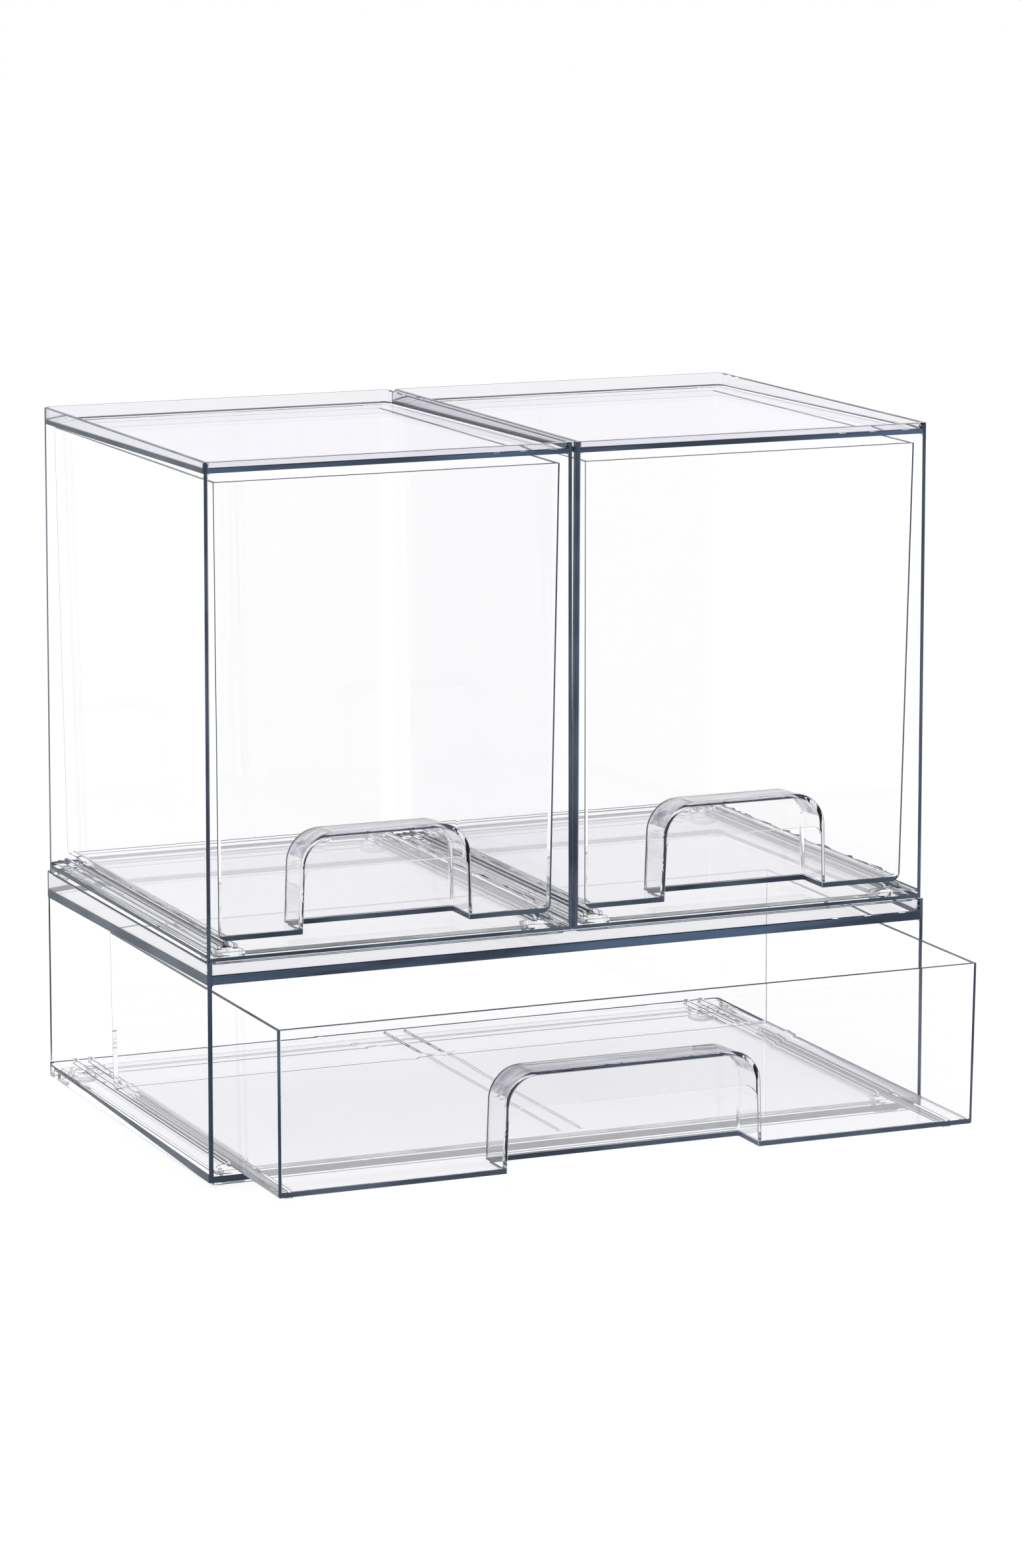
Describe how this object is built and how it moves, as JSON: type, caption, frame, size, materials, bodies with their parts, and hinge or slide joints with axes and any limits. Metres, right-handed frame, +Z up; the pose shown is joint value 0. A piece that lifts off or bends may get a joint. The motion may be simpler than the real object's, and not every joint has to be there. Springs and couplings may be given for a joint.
{
  "type": "makeup organizer drawers",
  "caption": "Clear stacking organizer: tall casings side by side on a wide low one, each with a pull-out drawer that has a finger pull moulded into its front.",
  "frame": {"origin": "centre of the footprint, with the lower drawer as far out as it stands at rest, on the surface under the pads", "axes": "+X to the right, +Y from the drawer fronts to the back, +Z up"},
  "size_m": [0.305, 0.2474, 0.2787],
  "materials": {
    "clear_acrylic": "clear, polished",
    "clear_pad": "clear, soft"
  },
  "bodies": {
    "lower_casing": {"lower_casing": "clear_acrylic", "lower_casing_foot_front_left": "clear_pad", "lower_casing_foot_front_right": "clear_pad", "lower_casing_foot_back_left": "clear_pad", "lower_casing_foot_back_right": "clear_pad"},
    "upper_left_casing": {"upper_left_casing": "clear_acrylic", "upper_left_casing_foot_front_left": "clear_pad", "upper_left_casing_foot_front_right": "clear_pad", "upper_left_casing_foot_back_left": "clear_pad", "upper_left_casing_foot_back_right": "clear_pad"},
    "upper_right_casing": {"upper_right_casing": "clear_acrylic", "upper_right_casing_foot_front_left": "clear_pad", "upper_right_casing_foot_front_right": "clear_pad", "upper_right_casing_foot_back_left": "clear_pad", "upper_right_casing_foot_back_right": "clear_pad"},
    "lower_drawer": {"lower_drawer": "clear_acrylic"},
    "upper_left_drawer": {"upper_left_drawer": "clear_acrylic"},
    "upper_right_drawer": {"upper_right_drawer": "clear_acrylic"}
  },
  "joints": [
    {"name": "lower_drawer_slide", "type": "slide", "parent": "lower_casing", "child": "lower_drawer", "axis": [0, -1, 0], "range_m": [-0.05875, 0.1]},
    {"name": "upper_left_drawer_slide", "type": "slide", "parent": "upper_left_casing", "child": "upper_left_drawer", "axis": [0, -1, 0], "range_m": [0, 0.15]},
    {"name": "upper_right_drawer_slide", "type": "slide", "parent": "upper_right_casing", "child": "upper_right_drawer", "axis": [0, -1, 0], "range_m": [0, 0.15]},
    {"name": "upper_left_casing_lift", "type": "slide", "parent": "lower_casing", "child": "upper_left_casing", "axis": [0, 0, 1], "range_m": [0, 0.04]},
    {"name": "upper_right_casing_lift", "type": "slide", "parent": "lower_casing", "child": "upper_right_casing", "axis": [0, 0, 1], "range_m": [0, 0.04]}
  ]
}
